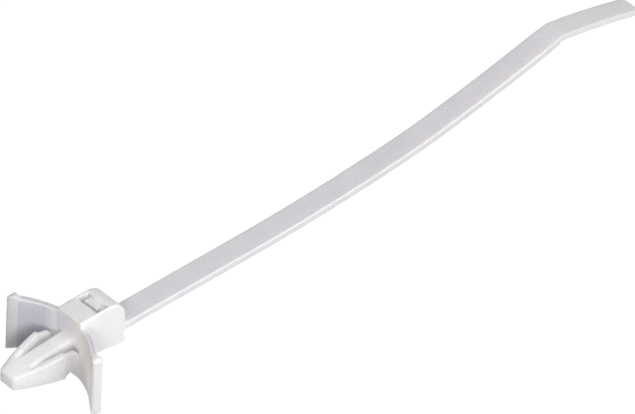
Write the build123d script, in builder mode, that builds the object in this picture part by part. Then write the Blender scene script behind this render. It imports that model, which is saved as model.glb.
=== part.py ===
"""Push-mount cable tie, moulded in one piece: arrowhead, spring wings, head and strap."""
import os
from math import cos, floor, radians, sin

from build123d import *

# Sizes are in millimetres. X runs from the arrowhead to the strap's tail, and Z is the
# thickness of the strap, smooth face up. X = 0 is the plane of the barbs' shoulders,
# where the far side of the panel is caught. The tie is the same on its +Y and -Y sides.

# Arrowhead
ARROW_LENGTH = 10.2
TIP_WIDTH = 3.4
TIP_HEIGHT = 2.8
TIP_ROUNDING = 0.8
BARB_SPAN = 8.5
BARB_HEIGHT = 5.5
BARB_THICKNESS = 1.15
BARB_BOW = 0.35
BARB_GAP_LENGTH = 6.3
BARB_GAP_ROOT = 0.5
BARB_ROUNDING = 0.3
TONGUE_LENGTH = 3.3
TONGUE_THICKNESS = 0.7
TONGUE_HEIGHT = 4.2
TONGUE_ROUNDING = 1.8
TONGUE_SET_IN = 0.4
TONGUE_RAMP_LENGTH = 1.3
SHOULDER_LEDGE = 0.25

# Stem between the arrowhead and the plate
STEM_WIDTH = 3.2
STEM_ROOT_HEIGHT = 5.4
STEM_ROUNDING = 0.6
STEM_ROOT_FILLET = 0.6

# Spring plate, bowed towards the panel, with a thick foot on each end
PLATE_STANDOFF = 4.15
PLATE_THICKNESS = 1.05
PLATE_ROOT_HEIGHT = 11.5
WING_SPAN = 23.6
WING_TOP = 6.3
WING_BOTTOM = -6.15
NECK_TOP = 5.95
NECK_BOTTOM = -5.3
WING_BOW = 0.4
WING_TOP_CORNER = 1.2
WING_BOTTOM_CORNER = 0.6
FOOT_LENGTH = 2.15
FOOT_ANGLE = 34.0
FOOT_THICKNESS = 2.3
FOOT_END_ANGLE = 12.0
FOOT_ADVANCE = 0.4
FOOT_ROUNDING = 0.35

# Head
HEAD_LENGTH = 10.65
HEAD_WIDTH = 6.2
HEAD_TOP = 6.75
HEAD_BOTTOM = -2.4
HEAD_BACK_ROUNDING = 3.8
HEAD_FRONT_ROUNDING = 0.5
HEAD_EDGE_ROUNDING = 0.35
HEAD_WAIST = 0.25
LIP_DROP = 0.95
LIP_REACH = 0.4
LIP_LENGTH = 5.3
LIP_ROUNDING = 0.7

# Slot through the head, and the pawl in it
SLOT_FROM_FRONT = 4.05
SLOT_CLEARANCE = 0.35
SLOT_SIDE_CLEARANCE = 0.2
SLOT_LEAD_IN = 0.4
PAWL_TOP_GAP = 0.35
PAWL_ROOT_RISE = 2.2
PAWL_ROOT_THICKNESS = 0.6
PAWL_TIP_THICKNESS = 1.35
PAWL_REACH = 0.9
PAWL_FLEX_ROOM = 0.6
PAWL_POCKET_FLOOR = 0.3
PAWL_SIDE_CLEARANCE = 0.15
PAWL_TEETH = 3

# Strap
STRAP_WIDTH = 4.8
STRAP_THICKNESS = 1.5
STRAP_LEVEL = -0.6
STRAP_ROUNDING = 0.2
STRAP_DROOP = 0.4
STRAP_STRAIGHT = 30.0
FIRST_CURVE_LENGTH = 36.0
FIRST_CURVE_TURN = 5.4
SECOND_CURVE_LENGTH = 12.0
SECOND_CURVE_TURN = 4.6
THIRD_CURVE_LENGTH = 26.3
THIRD_CURVE_TURN = 3.8

# Teeth, in a channel between two rails on the strap's underside
RAIL_WIDTH = 0.75
CHANNEL_DEPTH = 0.55
TOOTH_HEIGHT = 0.42
TOOTH_PITCH = 1.15
TEETH_FROM_HEAD = 14.0
TEETH_BEFORE_TAIL = 3.5

# Tail
TAIL_BEND_RADIUS = 4.0
TAIL_BEND_TURN = 24.0
TAIL_LENGTH = 19.2
TAIL_CURVE_TURN = 6.5
TAIL_THICKNESS = 1.15
TAIL_ROOT_WIDTH = 4.3
TAIL_END_WIDTH = 4.0
TAIL_TIP_ROUNDING = 1.3
TAPER_LENGTH = 4.0
GRIP_RIB_HEIGHT = 0.2
GRIP_RIB_WIDTH = 0.6
GRIP_RIB_SPACING = 1.8
GRIP_RIB_COUNT = 5

# How far one form runs into the next where they are fused, and how near counts as the same place
OVERLAP = 0.6
MATCH = 0.01


def round_limit(wanted, available, share=0.45):
    """A rounding that still fits on the wall that it rounds."""
    return min(wanted, share * available)


def barb_outline():
    """Plan of the tip and both barbs, with the stem's channel left out."""
    half_tip = TIP_WIDTH / 2
    half_span = BARB_SPAN / 2
    inner = half_span - BARB_THICKNESS
    gap_root = STEM_WIDTH / 2 + BARB_GAP_ROOT
    bow_middle = (-ARROW_LENGTH / 2, (half_tip + half_span) / 2 + BARB_BOW)
    with BuildSketch() as plan:
        with BuildLine():
            Line((-ARROW_LENGTH, 0), (-ARROW_LENGTH, half_tip))
            ThreePointArc((-ARROW_LENGTH, half_tip), bow_middle, (0, half_span))
            Line((0, half_span), (0, inner))
            Line((0, inner), (-BARB_GAP_LENGTH, gap_root))
            Line((-BARB_GAP_LENGTH, gap_root), (-BARB_GAP_LENGTH, 0))
            Line((-BARB_GAP_LENGTH, 0), (-ARROW_LENGTH, 0))
        make_face()
        mirror(about=Plane.XZ)
        tip_corners = plan.vertices().group_by(Axis.X)[0]
        fillet(tip_corners, round_limit(TIP_ROUNDING, TIP_WIDTH))
    return plan.sketch


def taper_outline(start_x, start_height, end_x, end_height, rounding=0):
    """Side view of something that grows evenly from one height to another."""
    with BuildSketch(Plane.XZ) as side:
        with BuildLine():
            Polyline(
                (start_x, -start_height / 2),
                (end_x, -end_height / 2),
                (end_x, end_height / 2),
                (start_x, start_height / 2),
                close=True,
            )
        make_face()
        if rounding:
            fillet(side.vertices().group_by(Axis.X)[0], round_limit(rounding, start_height))
    return side.sketch


with BuildPart() as barbs:
    extrude(barb_outline(), amount=BARB_HEIGHT, both=True)
    barb_side = taper_outline(-ARROW_LENGTH, TIP_HEIGHT, 0, BARB_HEIGHT, TIP_ROUNDING)
    extrude(barb_side, amount=BARB_SPAN, both=True, mode=Mode.INTERSECT)
    bowed_faces = barbs.faces().filter_by(GeomType.CYLINDER).sort_by(SortBy.AREA)[-2:]
    barb_edges = [edge for face in bowed_faces for edge in face.edges().sort_by(SortBy.LENGTH)[-2:]]
    fillet(barb_edges, round_limit(BARB_ROUNDING, BARB_THICKNESS))

# The tongue is the barb's release tab, which lies inside the panel's hole. A ramp leads to it from
# the barb's shoulder, and leaves a flat ledge on the shoulder that holds the panel.
tongue_outside = BARB_SPAN / 2 - TONGUE_SET_IN
tongue_inside = tongue_outside - TONGUE_THICKNESS
ramp_outside = BARB_SPAN / 2 - SHOULDER_LEDGE
with BuildPart() as tongues:
    with BuildSketch(Plane.XZ.offset(-tongue_outside)) as tongue_side:
        with Locations(((TONGUE_LENGTH - OVERLAP) / 2, 0)):
            Rectangle(TONGUE_LENGTH + OVERLAP, TONGUE_HEIGHT)
        end_corners = tongue_side.vertices().group_by(Axis.X)[-1]
        fillet(end_corners, round_limit(TONGUE_ROUNDING, TONGUE_HEIGHT))
    extrude(amount=TONGUE_THICKNESS)
    with BuildSketch(Plane.YZ):
        with Locations(((tongue_inside + ramp_outside) / 2, 0)):
            Rectangle(ramp_outside - tongue_inside, BARB_HEIGHT - 2 * SHOULDER_LEDGE)
    with BuildSketch(Plane.YZ.offset(TONGUE_RAMP_LENGTH)):
        with Locations(((tongue_inside + tongue_outside) / 2, 0)):
            Rectangle(TONGUE_THICKNESS, TONGUE_HEIGHT)
    loft()
    mirror(about=Plane.XZ)

plate_back = PLATE_STANDOFF + PLATE_THICKNESS
with BuildPart() as stem:
    stem_start = -BARB_GAP_LENGTH - OVERLAP
    stem_end = PLATE_STANDOFF + PLATE_THICKNESS / 2
    start_share = 1 + stem_start / ARROW_LENGTH
    stem_start_height = TIP_HEIGHT + (BARB_HEIGHT - TIP_HEIGHT) * start_share
    stem_side = taper_outline(stem_start, stem_start_height, stem_end, STEM_ROOT_HEIGHT)
    extrude(stem_side, amount=STEM_WIDTH / 2, both=True)
    stem_long_edges = stem.edges().filter_by(lambda edge: edge.length > BARB_GAP_LENGTH)
    fillet(stem_long_edges, round_limit(STEM_ROUNDING, STEM_WIDTH))


foot_end = Vector(
    -FOOT_ADVANCE,
    WING_SPAN / 2 - FOOT_THICKNESS * sin(radians(FOOT_END_ANGLE)),
)
crease = foot_end + Vector(
    FOOT_LENGTH * sin(radians(FOOT_ANGLE)),
    -FOOT_LENGTH * cos(radians(FOOT_ANGLE)),
)


def wing_outline():
    """Plan of the bowed plate: a spring arc of even thickness on each side, then a foot."""
    foot_back = foot_end + Vector(
        FOOT_THICKNESS * cos(radians(FOOT_END_ANGLE)),
        FOOT_THICKNESS * sin(radians(FOOT_END_ANGLE)),
    )
    root = Vector(PLATE_STANDOFF, HEAD_WIDTH / 2)
    chord = crease - root
    chord_normal = Vector(chord.Y, -chord.X).normalized()
    middle = (root + crease) * 0.5 + chord_normal * WING_BOW
    bow_radius = chord.length**2 / (8 * WING_BOW) + WING_BOW / 2
    centre = middle - chord_normal * bow_radius
    outer = [
        centre + (point - centre).normalized() * (bow_radius + PLATE_THICKNESS)
        for point in (root, middle, crease)
    ]
    with BuildSketch() as plan:
        with BuildLine():
            Line((PLATE_STANDOFF, 0), root)
            ThreePointArc(root, middle, crease)
            Line(crease, foot_end)
            Line(foot_end, foot_back)
            Line(foot_back, outer[2])
            ThreePointArc(outer[2], outer[1], outer[0])
            Line(outer[0], (outer[0].X, 0))
            Line((outer[0].X, 0), (PLATE_STANDOFF, 0))
        make_face()
        foot_corners = plan.vertices().sort_by(Axis.Y)[-2:]
        fillet(foot_corners, round_limit(FOOT_ROUNDING, FOOT_THICKNESS))
        mirror(about=Plane.XZ)
    return plan.sketch


def wing_front_outline():
    """Front view of the plate: narrowest at its necks, where the feet begin."""
    with BuildSketch(Plane.YZ) as front:
        with BuildLine():
            Polyline(
                (0, PLATE_ROOT_HEIGHT / 2),
                (HEAD_WIDTH / 2, PLATE_ROOT_HEIGHT / 2),
                (crease.Y, NECK_TOP),
                (WING_SPAN / 2, WING_TOP),
                (WING_SPAN / 2, WING_BOTTOM),
                (crease.Y, NECK_BOTTOM),
                (HEAD_WIDTH / 2, -PLATE_ROOT_HEIGHT / 2),
                (0, -PLATE_ROOT_HEIGHT / 2),
                close=True,
            )
        make_face()
        end_corners = front.vertices().group_by(Axis.X)[-1].sort_by(Axis.Y)
        end_width = WING_SPAN / 2 - crease.Y
        fillet(end_corners[-1], round_limit(WING_TOP_CORNER, end_width, share=0.75))
        fillet(end_corners[0], round_limit(WING_BOTTOM_CORNER, end_width))
        mirror(about=Plane.YZ)
    return front.sketch


with BuildPart() as wings:
    extrude(wing_outline(), amount=WING_TOP - WING_BOTTOM, both=True)
    extrude(wing_front_outline(), amount=WING_SPAN, both=True, mode=Mode.INTERSECT)

head_back = PLATE_STANDOFF + HEAD_LENGTH
with BuildPart() as head:
    with BuildSketch(Plane.XZ) as head_side:
        with BuildLine():
            Polyline(
                (PLATE_STANDOFF, HEAD_BOTTOM),
                (PLATE_STANDOFF, HEAD_TOP),
                (head_back, HEAD_TOP),
                (head_back, STRAP_LEVEL),
                (head_back - HEAD_WAIST, STRAP_LEVEL - STRAP_THICKNESS / 2),
                (head_back + LIP_REACH, HEAD_BOTTOM - LIP_DROP / 3),
                (head_back - LIP_REACH, HEAD_BOTTOM - LIP_DROP),
                (head_back - LIP_LENGTH, HEAD_BOTTOM),
                close=True,
            )
        make_face()
        top_corners = head_side.vertices().group_by(Axis.Y)[-1].sort_by(Axis.X)
        fillet(top_corners[-1], HEAD_BACK_ROUNDING)
        fillet(top_corners[0], HEAD_FRONT_ROUNDING)
        lip_corners = head_side.vertices().sort_by(Axis.Y)[0] + head_side.vertices().sort_by(Axis.X)[-1]
        fillet(lip_corners, LIP_ROUNDING)
    extrude(amount=HEAD_WIDTH / 2, both=True)
    side_edges = head.faces().sort_by(Axis.Y)[0].edges() + head.faces().sort_by(Axis.Y)[-1].edges()
    fillet(side_edges, HEAD_EDGE_ROUNDING)

slot_front = PLATE_STANDOFF + SLOT_FROM_FRONT
slot_back = slot_front + STRAP_THICKNESS + SLOT_CLEARANCE
slot_width = STRAP_WIDTH + 2 * SLOT_SIDE_CLEARANCE
pawl_root_back = slot_back + PAWL_ROOT_THICKNESS
pawl_tip_back = slot_back - PAWL_REACH + PAWL_TIP_THICKNESS
pocket_back = pawl_tip_back + PAWL_FLEX_ROOM
pawl_tip_level = HEAD_TOP - PAWL_TOP_GAP
pawl_root_level = HEAD_BOTTOM + PAWL_ROOT_RISE
pocket_floor_level = pawl_root_level + PAWL_POCKET_FLOOR
with BuildPart() as slot:
    with BuildSketch(Plane.XY.offset(HEAD_TOP)):
        with Locations(((slot_front + pocket_back) / 2, 0)):
            Rectangle(pocket_back - slot_front, slot_width)
    extrude(amount=-(HEAD_TOP - pocket_floor_level))
    with BuildSketch(Plane.XY.offset(HEAD_TOP)):
        with Locations(((slot_front + slot_back) / 2, 0)):
            Rectangle(slot_back - slot_front, slot_width)
    extrude(amount=-2 * (HEAD_TOP - HEAD_BOTTOM))
    with BuildSketch(Plane.XZ):
        with BuildLine():
            Polyline(
                (slot_front, HEAD_BOTTOM + SLOT_LEAD_IN),
                (slot_front - SLOT_LEAD_IN, HEAD_BOTTOM),
                (slot_front - SLOT_LEAD_IN, HEAD_BOTTOM - LIP_DROP),
                (slot_back + SLOT_LEAD_IN, HEAD_BOTTOM - LIP_DROP),
                (slot_back + SLOT_LEAD_IN, HEAD_BOTTOM),
                (slot_back, HEAD_BOTTOM + SLOT_LEAD_IN),
                close=True,
            )
        make_face()
    extrude(amount=slot_width / 2, both=True)


def pawl_outline():
    """Side view of the pawl: it leans into the strap's way, its teeth at the strap's pitch."""
    lean = PAWL_REACH / (pawl_tip_level - pawl_root_level)
    front = []
    for tooth in range(PAWL_TEETH):
        level = pawl_tip_level - tooth * TOOTH_PITCH
        tip = slot_back - (level - pawl_root_level) * lean
        front.append((tip, level))
        front.append((tip + TOOTH_HEIGHT, level - TOOTH_PITCH))
    with BuildSketch(Plane.XZ) as side:
        with BuildLine():
            Polyline(
                *front,
                (slot_back, pawl_root_level),
                (slot_back, pawl_root_level - OVERLAP),
                (pocket_back + OVERLAP, pawl_root_level - OVERLAP),
                (pocket_back + OVERLAP, pocket_floor_level),
                (pocket_back, pocket_floor_level),
                (pawl_root_back, pocket_floor_level + pocket_back - pawl_root_back),
                (pawl_tip_back, pawl_tip_level),
                close=True,
            )
        make_face()
    return side.sketch


channel_width = STRAP_WIDTH - 2 * RAIL_WIDTH
with BuildPart() as pawl:
    extrude(pawl_outline(), amount=channel_width / 2 - PAWL_SIDE_CLEARANCE, both=True)


def direction(angle):
    """A direction in the strap's side view, in degrees above the arrow's axis."""
    return (cos(radians(angle)), sin(radians(angle)))


def side_point(place):
    """A point's place in the strap's side view."""
    return (place.X, place.Z)


# The strap's centre line: straight out of the head, three gentle curves, a bend and the tail.
first_angle = FIRST_CURVE_TURN - STRAP_DROOP
second_angle = first_angle + SECOND_CURVE_TURN
main_end_angle = second_angle + THIRD_CURVE_TURN
with BuildLine(Plane.XZ) as main_line:
    run = PolarLine((head_back - OVERLAP, STRAP_LEVEL), STRAP_STRAIGHT + OVERLAP, -STRAP_DROOP)
    first_curve = JernArc(
        side_point(run @ 1),
        direction(-STRAP_DROOP),
        FIRST_CURVE_LENGTH / radians(FIRST_CURVE_TURN),
        FIRST_CURVE_TURN,
    )
    second_curve = JernArc(
        side_point(first_curve @ 1),
        direction(first_angle),
        SECOND_CURVE_LENGTH / radians(SECOND_CURVE_TURN),
        SECOND_CURVE_TURN,
    )
    third_curve = JernArc(
        side_point(second_curve @ 1),
        direction(second_angle),
        THIRD_CURVE_LENGTH / radians(THIRD_CURVE_TURN),
        THIRD_CURVE_TURN,
    )
main_path = main_line.wires()[0]
with BuildLine(Plane.XZ) as tail_line:
    bend = JernArc(
        side_point(third_curve @ 1),
        direction(main_end_angle),
        TAIL_BEND_RADIUS,
        -TAIL_BEND_TURN,
    )
    tail_run = JernArc(
        side_point(bend @ 1),
        direction(main_end_angle - TAIL_BEND_TURN),
        TAIL_LENGTH / radians(TAIL_CURVE_TURN),
        -TAIL_CURVE_TURN,
    )
tail_path = tail_line.wires()[0]


def strap_point(path, along, below):
    """A point of the strap's side view, so far along a path and so far below it."""
    place = path.position_at(along, position_mode=PositionMode.LENGTH)
    heading = path.tangent_at(along, position_mode=PositionMode.LENGTH)
    return (place.X + heading.Z * below, place.Z - heading.X * below)


def start_plane(path):
    """The plane square to a path's start, with X across the strap and Y up."""
    return Plane(origin=path @ 0, x_dir=(0, 1, 0), z_dir=path % 0)


def toothed_channel_outline():
    """Side view of what is cut from the strap's underside, which leaves the teeth standing."""
    teeth_start = TEETH_FROM_HEAD + OVERLAP
    teeth_room = main_path.length - teeth_start - TEETH_BEFORE_TAIL
    stations = [
        teeth_start + tooth * TOOTH_PITCH for tooth in range(floor(teeth_room / TOOTH_PITCH) + 1)
    ]
    valley = STRAP_THICKNESS / 2 - CHANNEL_DEPTH
    edge = []
    for station in stations:
        edge.append(strap_point(main_path, station, valley))
        edge.append(strap_point(main_path, station, valley + TOOTH_HEIGHT))
    underneath = [strap_point(main_path, station, STRAP_THICKNESS) for station in reversed(stations)]
    with BuildSketch(Plane.XZ) as side:
        Polygon(*edge[:-1], *underneath, align=None)
    return side.sketch


def grip_rib_outlines():
    """Side view of the fine ribs under the tail, for the fingers."""
    under = TAIL_THICKNESS - STRAP_THICKNESS / 2
    first = tail_path.length - TAIL_TIP_ROUNDING - GRIP_RIB_SPACING * GRIP_RIB_COUNT
    with BuildSketch(Plane.XZ) as side:
        for rib in range(GRIP_RIB_COUNT):
            middle = first + rib * GRIP_RIB_SPACING
            Polygon(
                strap_point(tail_path, middle - GRIP_RIB_WIDTH / 2, under - GRIP_RIB_HEIGHT),
                strap_point(tail_path, middle - GRIP_RIB_WIDTH / 2, under),
                strap_point(tail_path, middle, under + GRIP_RIB_HEIGHT),
                strap_point(tail_path, middle + GRIP_RIB_WIDTH / 2, under),
                strap_point(tail_path, middle + GRIP_RIB_WIDTH / 2, under - GRIP_RIB_HEIGHT),
                align=None,
            )
    return side.sketch


def strap_plan():
    """Plan of the strap: even width, a taper before the bend and a rounded tip."""
    bend_x = (tail_path @ 0).X
    end_x = (tail_path @ 1).X - STRAP_THICKNESS / 2
    with BuildSketch() as plan:
        with BuildLine():
            Polyline(
                (head_back - 2 * OVERLAP, STRAP_WIDTH / 2),
                (bend_x - TAPER_LENGTH, STRAP_WIDTH / 2),
                (bend_x, TAIL_ROOT_WIDTH / 2),
                (end_x, TAIL_END_WIDTH / 2),
                (end_x, -TAIL_END_WIDTH / 2),
                (bend_x, -TAIL_ROOT_WIDTH / 2),
                (bend_x - TAPER_LENGTH, -STRAP_WIDTH / 2),
                (head_back - 2 * OVERLAP, -STRAP_WIDTH / 2),
                close=True,
            )
        make_face()
        fillet(plan.vertices().group_by(Axis.X)[-1], round_limit(TAIL_TIP_ROUNDING, TAIL_END_WIDTH))
    return plan.sketch


with BuildPart() as strap:
    with BuildSketch(start_plane(main_path)):
        RectangleRounded(STRAP_WIDTH, STRAP_THICKNESS, STRAP_ROUNDING)
    sweep(path=main_path)
    with BuildSketch(start_plane(tail_path)):
        with Locations((0, (STRAP_THICKNESS - TAIL_THICKNESS) / 2)):
            RectangleRounded(STRAP_WIDTH, TAIL_THICKNESS, STRAP_ROUNDING)
    sweep(path=tail_path)
    extrude(toothed_channel_outline(), amount=channel_width / 2, both=True, mode=Mode.SUBTRACT)
    extrude(grip_rib_outlines(), amount=TAIL_END_WIDTH / 2 - RAIL_WIDTH, both=True)
    extrude(strap_plan(), amount=STRAP_STRAIGHT, both=True, mode=Mode.INTERSECT)

with BuildPart() as cable_tie:
    add(head.part)
    add(wings.part)
    add(stem.part)
    stem_root_edges = cable_tie.edges().filter_by(
        lambda edge: abs(edge.center().X - PLATE_STANDOFF) < MATCH
        and abs(edge.center().Y) < STEM_WIDTH / 2 + MATCH
        and abs(edge.center().Z) < STEM_ROOT_HEIGHT / 2
    )
    fillet(stem_root_edges, STEM_ROOT_FILLET)
    add(barbs.part)
    add(tongues.part)
    add(strap.part)
    add(slot.part, mode=Mode.SUBTRACT)
    add(pawl.part)

cable_tie.part.label = "cable_tie"
os.makedirs("parts", exist_ok=True)
export_step(cable_tie.part, "parts/cable_tie.step")
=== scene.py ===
"""Looks of the push-mount cable tie: natural nylon on a white table, lit by soft boxes."""
import math

import bpy
from mathutils import Matrix, Vector


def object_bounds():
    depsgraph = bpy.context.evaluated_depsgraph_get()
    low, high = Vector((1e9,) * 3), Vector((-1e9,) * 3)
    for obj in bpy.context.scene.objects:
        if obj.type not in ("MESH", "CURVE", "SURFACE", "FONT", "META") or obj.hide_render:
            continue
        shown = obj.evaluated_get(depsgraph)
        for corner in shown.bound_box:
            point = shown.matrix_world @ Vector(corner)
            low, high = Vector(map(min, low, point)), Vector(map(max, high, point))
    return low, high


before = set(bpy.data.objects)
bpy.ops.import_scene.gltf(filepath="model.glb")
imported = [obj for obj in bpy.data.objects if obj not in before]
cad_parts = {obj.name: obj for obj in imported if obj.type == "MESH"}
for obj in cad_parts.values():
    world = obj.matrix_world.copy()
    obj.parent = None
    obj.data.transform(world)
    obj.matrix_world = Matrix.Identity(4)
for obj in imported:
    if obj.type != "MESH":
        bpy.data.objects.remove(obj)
cad_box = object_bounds()

MM = 0.001
TIE = "cable_tie"
WHITE = (1.0, 1.0, 1.0, 1.0)

# Camera: a long lens, set by the tip of the arrowhead and the width of the picture. The lens
# and the sensor are in millimetres, as Blender has them.
VIEW_RIGHT = Vector((0.737, -0.675, 0.0375))
VIEW_UP = Vector((0.4255, 0.506, 0.75))
PICTURE_WIDTH = 110.97 * MM
TIP_TO_CENTRE_RIGHT = 53.83 * MM
TIP_TO_CENTRE_UP = 29.98 * MM
TIP_TO_CENTRE_DEPTH = 34.0 * MM
LENS_LENGTH = 1000.0
SENSOR_WIDTH = 36.0
VIEW_REACH = 50.0

# Table and world: dim to the tie, so that the lamps light it, and white to the camera
TABLE_GAP = 0.02 * MM
TABLE_SIZE = 12.0
TABLE_COLOR = (0.18, 0.18, 0.18, 1.0)
TABLE_LIFT = 0.92
WORLD_COLOR = (0.95, 0.975, 1.0, 1.0)
WORLD_LIGHT = 0.1

# Lamps: the places they are aimed at, and their colours
AT_HEAD = Vector((8.0, 0.0, 1.0)) * MM
OVER_TAIL = Vector((110.0, 0.0, 20.0)) * MM
PLAIN = (1.0, 1.0, 1.0)
ROSY = (1.0, 0.98, 1.0)
CREAM = (1.0, 0.97, 0.9)
WARM = (1.0, 0.95, 0.88)
COOL = (0.93, 0.97, 1.0)

# Where the walls and their painted shade and light change: along X from the barbs' shoulders, and out
# from the middle along Y
PLATE_FROM = 0.0
PLATE_FADE = 1.0 * MM
HEAD_FROM = 1.0 * MM
HEAD_TONE_FADE = 3.0 * MM
HEAD_DEPTH_FADE = 2.5 * MM
STRAP_FROM = 14.8 * MM
STRAP_FADE = 2.0 * MM
TAIL_FROM = 112.0 * MM
TAIL_FADE = 12.0 * MM
NEAR_FROM = 0.5 * MM
NEAR_FADE = 2.5 * MM
WING_FROM = 3.5 * MM
WING_FADE = 2.0 * MM
FOOT_FROM = 9.4 * MM
FOOT_FADE = 0.25 * MM

# The front of the plate, by the X of its normal, which gets the painted light through the near half
FACING_FRONT = -0.4
FACING_SIDE = -0.1

# Nylon's tones with painted shade: thin walls let more light through than thick ones, and so are
# painted darker and cooler, as is the head
THICK_TONE = (0.97, 0.97, 0.97, 1.0)
HEAD_PAINTED_SHADE_TONE = (0.87, 0.87, 0.88, 1.0)
STRAP_PAINTED_SHADE_TONE = (0.77, 0.765, 0.8, 1.0)
TAIL_PAINTED_SHADE_TONE = (0.85, 0.845, 0.875, 1.0)
WING_PAINTED_SHADE_TONE = (0.67, 0.68, 0.735, 1.0)
# Painted light: the front of the near half is lighter and warmer for the light that comes through it
# from behind
NEAR_FRONT_PAINTED_LIGHT_TONE = (0.98, 0.94, 0.91, 1.0)
FOOT_PAINTED_SHADE_TONE = (0.84, 0.83, 0.86, 1.0)
CLOUD_TONE = (0.96, 0.955, 0.97, 1.0)
GRAIN_TONE = (0.93, 0.93, 0.93, 1.0)

# Nylon's inside: how far light goes in, red furthest, and where it comes out again, which is painted
# as lighter edges and a glow in the narrow gaps
ARROW_DEPTH = 2.8 * MM
HEAD_DEPTH = 1.0 * MM
DEPTH_BY_COLOR = (1.0, 0.93, 0.86)
EDGE_WIDTH = 0.7 * MM
EDGE_LIKENESS = 0.84
STRAP_LIT_EDGE_SHARE = 0.7
# Painted glow in the narrow gaps of the arrowhead and head
GAP_WIDTH = 1.2 * MM
GAP_CLOSED = 0.2
GAP_OPEN = 0.85
GAP_LIGHT = 0.2
GAP_GLOW_COLOR = (1.0, 0.96, 0.92, 1.0)
PROBE_RAYS = 8

# Nylon's skin: cloudy, with grain, and marks drawn out along the way it flowed into the mould
REFRACTION = 1.53
CLOUDS_PER_METRE = 260.0
CLOUDS_LOW = 0.3
CLOUDS_HIGH = 0.7
SMOOTH_SKIN = 0.36
DULL_SKIN = 0.48
GRAIN_PER_METRE = 2300.0
GRAIN_LOW = 0.32
GRAIN_HIGH = 0.68
FLOW_PER_METRE = 900.0
FLOW_SQUEEZE = (0.12, 1.0, 1.0)
FLOW_STRENGTH = 0.12
FLOW_HEIGHT = 0.03 * MM
SKIN_PER_METRE = 5200.0
SKIN_STRENGTH = 0.15
SKIN_HEIGHT = 0.012 * MM
NOISE_ROUGHNESS = 0.55

# Sockets of the node that mixes colours, which share their names with those that mix values
MIX_SHARE = 0
MIX_FIRST = 6
MIX_SECOND = 7
MIX_RESULT = 2


def shader_input(tree, node, socket, value):
    """Set a socket to a constant, or link it when the value is another node's output."""
    if isinstance(value, bpy.types.NodeSocket):
        tree.links.new(value, node.inputs[socket])
    else:
        node.inputs[socket].default_value = value


def add_node(tree, kind, settings=None, **inputs):
    """Add a node; its inputs are named with underscores for spaces."""
    node = tree.nodes.new(kind)
    for name, value in (settings or {}).items():
        setattr(node, name, value)
    for name, value in inputs.items():
        shader_input(tree, node, name.replace("_", " "), value)
    return node


def empty_material(name):
    """A material with no nodes but its output."""
    material = bpy.data.materials.new(name)
    material.use_nodes = True
    tree = material.node_tree
    tree.nodes.clear()
    output = tree.nodes.new("ShaderNodeOutputMaterial")
    return material, tree, output


def noise(tree, place, scale, detail):
    """A noise value between 0 and 1, with about this many features to the metre."""
    node = add_node(
        tree,
        "ShaderNodeTexNoise",
        Vector=place,
        Scale=scale,
        Detail=detail,
        Roughness=NOISE_ROUGHNESS,
    )
    return node.outputs["Fac"]


def ranged(tree, value, low, high, out_low=0.0, out_high=1.0):
    """Map a value from one range to another, clamped."""
    node = add_node(
        tree,
        "ShaderNodeMapRange",
        {"clamp": True},
        Value=value,
        From_Min=low,
        From_Max=high,
        To_Min=out_low,
        To_Max=out_high,
    )
    return node.outputs["Result"]


def fade(tree, value, start, width, before=0.0, after=1.0):
    """Go from one number to another over a width of the value, which may run down as well as up."""
    return ranged(tree, value, start, start + width, before, after)


def blend(tree, share, first, second, blend_type="MIX"):
    """Mix two colours by a share between 0 and 1; each is a constant or another node's output."""
    mix = add_node(tree, "ShaderNodeMix", {"data_type": "RGBA", "blend_type": blend_type})
    shader_input(tree, mix, MIX_SHARE, share)
    shader_input(tree, mix, MIX_FIRST, first)
    shader_input(tree, mix, MIX_SECOND, second)
    return mix.outputs[MIX_RESULT]


def calculate(tree, operation, *values):
    """A value worked out from others; each is a constant or another node's output."""
    node = add_node(tree, "ShaderNodeMath", {"operation": operation})
    for index, value in enumerate(values):
        shader_input(tree, node, index, value)
    return node.outputs["Value"]


def product(tree, first, second):
    """One value times another."""
    return calculate(tree, "MULTIPLY", first, second)


def greater(tree, first, second):
    """The greater of two values."""
    return calculate(tree, "MAXIMUM", first, second)


def surface_facts(tree):
    """The outputs that say where a ray meets a surface and which way it faces."""
    return tree.nodes.new("ShaderNodeNewGeometry").outputs


def ray_facts(tree):
    """The outputs that say what kind of ray asks for a colour."""
    return tree.nodes.new("ShaderNodeLightPath").outputs


def seen_directly(tree):
    """1 for rays from the camera, and for those that reach it by a mirror or through glass."""
    ray = ray_facts(tree)
    mirrored = greater(tree, ray["Is Camera Ray"], ray["Is Glossy Ray"])
    return greater(tree, mirrored, ray["Is Transmission Ray"])


def away_from_lit_edges(tree):
    """1 on the faces and 0 along their edges, where the light that comes out of the nylon is painted
    as a lighter tone.
    """
    rounded = add_node(tree, "ShaderNodeBevel", {"samples": PROBE_RAYS}, Radius=EDGE_WIDTH)
    likeness = add_node(tree, "ShaderNodeVectorMath", {"operation": "DOT_PRODUCT"})
    shader_input(tree, likeness, 0, rounded.outputs["Normal"])
    shader_input(tree, likeness, 1, surface_facts(tree)["Normal"])
    return ranged(tree, likeness.outputs["Value"], EDGE_LIKENESS, 1.0)


def painted_light_through_front(tree, axes):
    """1 on the front of the plate's near half, where light that comes through from behind is painted,
    else 0.
    """
    facing = add_node(tree, "ShaderNodeSeparateXYZ", Vector=surface_facts(tree)["Normal"])
    to_front = ranged(tree, facing.outputs["X"], FACING_FRONT, FACING_SIDE, 1.0, 0.0)
    near_half = fade(tree, axes["Y"], -NEAR_FROM, -NEAR_FADE)
    behind_barbs = fade(tree, axes["X"], PLATE_FROM, PLATE_FADE)
    return product(tree, product(tree, near_half, behind_barbs), to_front)


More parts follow.
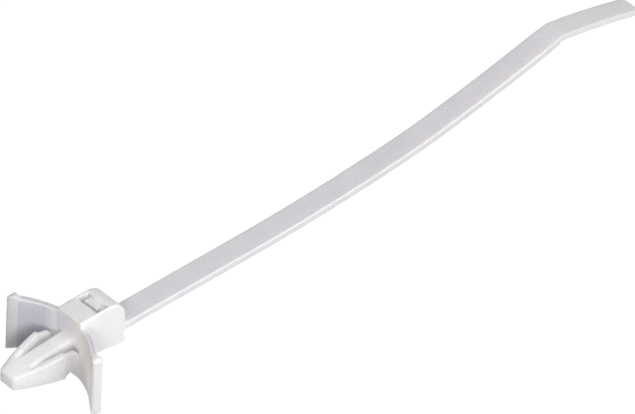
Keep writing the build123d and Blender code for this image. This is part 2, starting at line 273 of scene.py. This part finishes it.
def tone_and_painted_shade(tree, axes):
    """The nylon's colour with painted shade and light: the strap and the spring part of each wing are
    thin and painted darker, as is the head, with their edges and the plate's near front painted
    lighter; the rest is thick.
    """
    # Painted light: the edges of the wings and strap are kept lighter, where light comes out of the
    # nylon
    off_lit_edges = away_from_lit_edges(tree)
    out = calculate(tree, "ABSOLUTE", axes["Y"])
    out_of_root = fade(tree, out, WING_FROM, WING_FADE)
    on_foot = fade(tree, out, FOOT_FROM, FOOT_FADE)
    before_foot = fade(tree, out, FOOT_FROM, FOOT_FADE, 1.0, 0.0)
    on_wing = product(tree, product(tree, out_of_root, before_foot), off_lit_edges)
    on_painted_light_front = product(tree, painted_light_through_front(tree, axes), before_foot)
    on_head = fade(tree, axes["X"], HEAD_FROM, HEAD_TONE_FADE)
    on_tail = fade(tree, axes["X"], TAIL_FROM, TAIL_FADE)
    strap_share = ranged(tree, off_lit_edges, 0.0, 1.0, STRAP_LIT_EDGE_SHARE, 1.0)
    on_strap = product(tree, fade(tree, axes["X"], STRAP_FROM, STRAP_FADE), strap_share)

    # Painted shade: the head, strap, tail, wings and feet are darker than the thick arrowhead
    tone = blend(tree, on_head, THICK_TONE, HEAD_PAINTED_SHADE_TONE)
    tone = blend(tree, on_foot, tone, FOOT_PAINTED_SHADE_TONE)
    tone = blend(tree, on_strap, tone, blend(tree, on_tail, STRAP_PAINTED_SHADE_TONE, TAIL_PAINTED_SHADE_TONE))
    tone = blend(tree, on_wing, tone, WING_PAINTED_SHADE_TONE)
    # Painted light through the near front of the plate
    return blend(tree, on_painted_light_front, tone, NEAR_FRONT_PAINTED_LIGHT_TONE)


def nylon_tone(tree, place, clouds, axes):
    """The walls' tone, with its painted shade and light, and faint clouds and a fine grain over it.
    """
    cloud_share = ranged(tree, clouds, CLOUDS_LOW, CLOUDS_HIGH)
    cloud_tone = blend(tree, cloud_share, CLOUD_TONE, WHITE)
    grain = noise(tree, place, GRAIN_PER_METRE, detail=2.0)
    grain_share = ranged(tree, grain, GRAIN_LOW, GRAIN_HIGH)
    grain_tone = blend(tree, grain_share, GRAIN_TONE, WHITE)
    tone = blend(tree, 1.0, tone_and_painted_shade(tree, axes), cloud_tone, "MULTIPLY")
    return blend(tree, 1.0, tone, grain_tone, "MULTIPLY")


def nylon_bump(tree, place):
    """Flow marks drawn out along the strap, and a fine skin over them."""
    stretched = add_node(tree, "ShaderNodeMapping", Vector=place, Scale=FLOW_SQUEEZE)
    flow = noise(tree, stretched.outputs["Vector"], FLOW_PER_METRE, detail=3.0)
    skin = noise(tree, place, SKIN_PER_METRE, detail=2.0)
    flow_bump = add_node(
        tree, "ShaderNodeBump", Height=flow, Strength=FLOW_STRENGTH, Distance=FLOW_HEIGHT
    )
    skin_bump = add_node(
        tree,
        "ShaderNodeBump",
        Height=skin,
        Strength=SKIN_STRENGTH,
        Distance=SKIN_HEIGHT,
        Normal=flow_bump.outputs["Normal"],
    )
    return skin_bump.outputs["Normal"]


def painted_gap_glow(tree, axes):
    """A painted glow in the narrow gaps of the thick arrowhead and head, for the light that they let
    out there.
    """
    probe = add_node(
        tree, "ShaderNodeAmbientOcclusion", {"samples": PROBE_RAYS}, Distance=GAP_WIDTH
    )
    in_gap = ranged(tree, probe.outputs["AO"], GAP_CLOSED, GAP_OPEN, 1.0, 0.0)
    before_strap = fade(tree, axes["X"], STRAP_FROM - STRAP_FADE, STRAP_FADE, GAP_LIGHT, 0.0)
    return product(tree, in_gap, before_strap)


def nylon_material():
    """Natural nylon: milky and translucent, satin, with cloudy tone and fine flow marks, painted
    shade and light in its tone, and a painted glow in its gaps.
    """
    material, tree, output = empty_material("nylon")
    place = tree.nodes.new("ShaderNodeTexCoord").outputs["Object"]
    axes = add_node(tree, "ShaderNodeSeparateXYZ", Vector=place).outputs
    clouds = noise(tree, place, CLOUDS_PER_METRE, detail=4.0)
    surface = add_node(
        tree,
        "ShaderNodeBsdfPrincipled",
        {"subsurface_method": "RANDOM_WALK"},
        Base_Color=nylon_tone(tree, place, clouds, axes),
        Roughness=ranged(tree, clouds, CLOUDS_LOW, CLOUDS_HIGH, SMOOTH_SKIN, DULL_SKIN),
        Normal=nylon_bump(tree, place),
        IOR=REFRACTION,
        Subsurface_Weight=1.0,
        Subsurface_Radius=DEPTH_BY_COLOR,
        Subsurface_Scale=fade(
            tree, axes["X"], HEAD_FROM, HEAD_DEPTH_FADE, ARROW_DEPTH, HEAD_DEPTH
        ),
        # Painted glow in the narrow gaps
        Emission_Color=GAP_GLOW_COLOR,
        Emission_Strength=painted_gap_glow(tree, axes),
    )
    shader_input(tree, output, "Surface", surface.outputs["BSDF"])
    return material


def table_material():
    """A white table that takes the soft shadow, and lets a view and a lamp through from below."""
    material, tree, output = empty_material("white_table")
    paper = add_node(tree, "ShaderNodeBsdfDiffuse", Color=TABLE_COLOR)
    lift = product(tree, seen_directly(tree), TABLE_LIFT)
    glow = add_node(tree, "ShaderNodeEmission", Strength=lift)
    top = tree.nodes.new("ShaderNodeAddShader")
    shader_input(tree, top, 0, paper.outputs["BSDF"])
    shader_input(tree, top, 1, glow.outputs["Emission"])
    clear = tree.nodes.new("ShaderNodeBsdfTransparent")
    passed = greater(tree, surface_facts(tree)["Backfacing"], ray_facts(tree)["Is Shadow Ray"])
    both = add_node(tree, "ShaderNodeMixShader", Fac=passed)
    shader_input(tree, both, 1, top.outputs["Shader"])
    shader_input(tree, both, 2, clear.outputs["BSDF"])
    shader_input(tree, output, "Surface", both.outputs["Shader"])
    return material


def add_table(level):
    """The floor under the tie."""
    half = TABLE_SIZE / 2
    mesh = bpy.data.meshes.new("table")
    corners = [(-half, -half, level), (half, -half, level), (half, half, level), (-half, half, level)]
    mesh.from_pydata(corners, [], [(0, 1, 2, 3)])
    mesh.materials.append(table_material())
    table = bpy.data.objects.new("table", mesh)
    bpy.context.scene.collection.objects.link(table)


def add_soft_box(name, aim, direction, distance, strength, color, width_share=0.5):
    """A square area light, whose width is a share of its distance from what it is aimed at.

    A white surface that faces it there renders at its strength.
    """
    lamp = bpy.data.lights.new(name, "AREA")
    lamp.shape = "SQUARE"
    lamp.size = distance * width_share
    lamp.color = color
    lamp.energy = strength * math.pi**2 * distance**2
    light = bpy.data.objects.new(name, lamp)
    toward = Vector(direction).normalized()
    light.location = aim + toward * distance
    light.rotation_mode = "QUATERNION"
    light.rotation_quaternion = toward.to_track_quat("Z", "Y")
    bpy.context.scene.collection.objects.link(light)


def add_lamps(middle):
    """Soft boxes round the head, one over the tail, and one under the table for views from below."""
    add_soft_box(
        "left", AT_HEAD, (-0.7, -0.7, 0.42), distance=0.5, strength=0.45, color=ROSY, width_share=0.28
    )
    add_soft_box("right", AT_HEAD, (0.7, -0.7, 0.3), distance=0.7, strength=0.39, color=WARM)
    add_soft_box("near", AT_HEAD, (0.0, -1.0, 0.3), distance=0.3, strength=0.22, color=COOL)
    add_soft_box("raised", AT_HEAD, (0.0, -0.7, 0.7), distance=0.7, strength=0.3, color=CREAM)
    add_soft_box("top", OVER_TAIL, (0.0, 0.0, 1.0), distance=0.3, strength=0.2, color=PLAIN)
    add_soft_box("far_left", AT_HEAD, (-0.7, 0.4, 0.6), distance=0.7, strength=0.16, color=PLAIN)
    add_soft_box("under", middle, (0.0, 0.0, -1.0), distance=0.4, strength=0.33, color=PLAIN)


def add_world():
    """White to the camera, and a plain cool fill light for the object."""
    world = bpy.data.worlds.new("studio")
    world.use_nodes = True
    tree = world.node_tree
    tree.nodes.clear()
    output = tree.nodes.new("ShaderNodeOutputWorld")
    fill = add_node(tree, "ShaderNodeBackground", Color=WORLD_COLOR, Strength=WORLD_LIGHT)
    white = add_node(tree, "ShaderNodeBackground", Color=WHITE, Strength=1.0)
    pick = add_node(tree, "ShaderNodeMixShader", Fac=seen_directly(tree))
    shader_input(tree, pick, 1, fill.outputs["Background"])
    shader_input(tree, pick, 2, white.outputs["Background"])
    shader_input(tree, output, "Surface", pick.outputs["Shader"])
    bpy.context.scene.world = world


def add_camera(arrow_tip):
    """The photograph's view: from before the arrowhead's near side, looking down along the strap."""
    right = VIEW_RIGHT.normalized()
    back = right.cross(VIEW_UP).normalized()
    up = back.cross(right)
    centre = arrow_tip + right * TIP_TO_CENTRE_RIGHT + up * TIP_TO_CENTRE_UP
    centre -= back * TIP_TO_CENTRE_DEPTH
    distance = PICTURE_WIDTH * LENS_LENGTH / SENSOR_WIDTH
    data = bpy.data.cameras.new("camera")
    data.lens = LENS_LENGTH
    data.sensor_width = SENSOR_WIDTH
    data.clip_end = VIEW_REACH
    camera = bpy.data.objects.new("camera", data)
    turn = Matrix((right, up, back)).transposed().to_4x4()
    camera.matrix_world = Matrix.Translation(centre + back * distance) @ turn
    bpy.context.scene.collection.objects.link(camera)
    bpy.context.scene.camera = camera


def dress_tie():
    """Give the moulded tie its nylon."""
    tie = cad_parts[TIE]
    nylon = nylon_material()
    for slot in tie.material_slots:
        slot.material = nylon


low, high = cad_box
add_table(low.z - TABLE_GAP)
add_lamps((low + high) / 2)
add_world()
add_camera(Vector((low.x, 0.0, 0.0)))
dress_tie()

bpy.context.scene.view_settings.view_transform = "Standard"
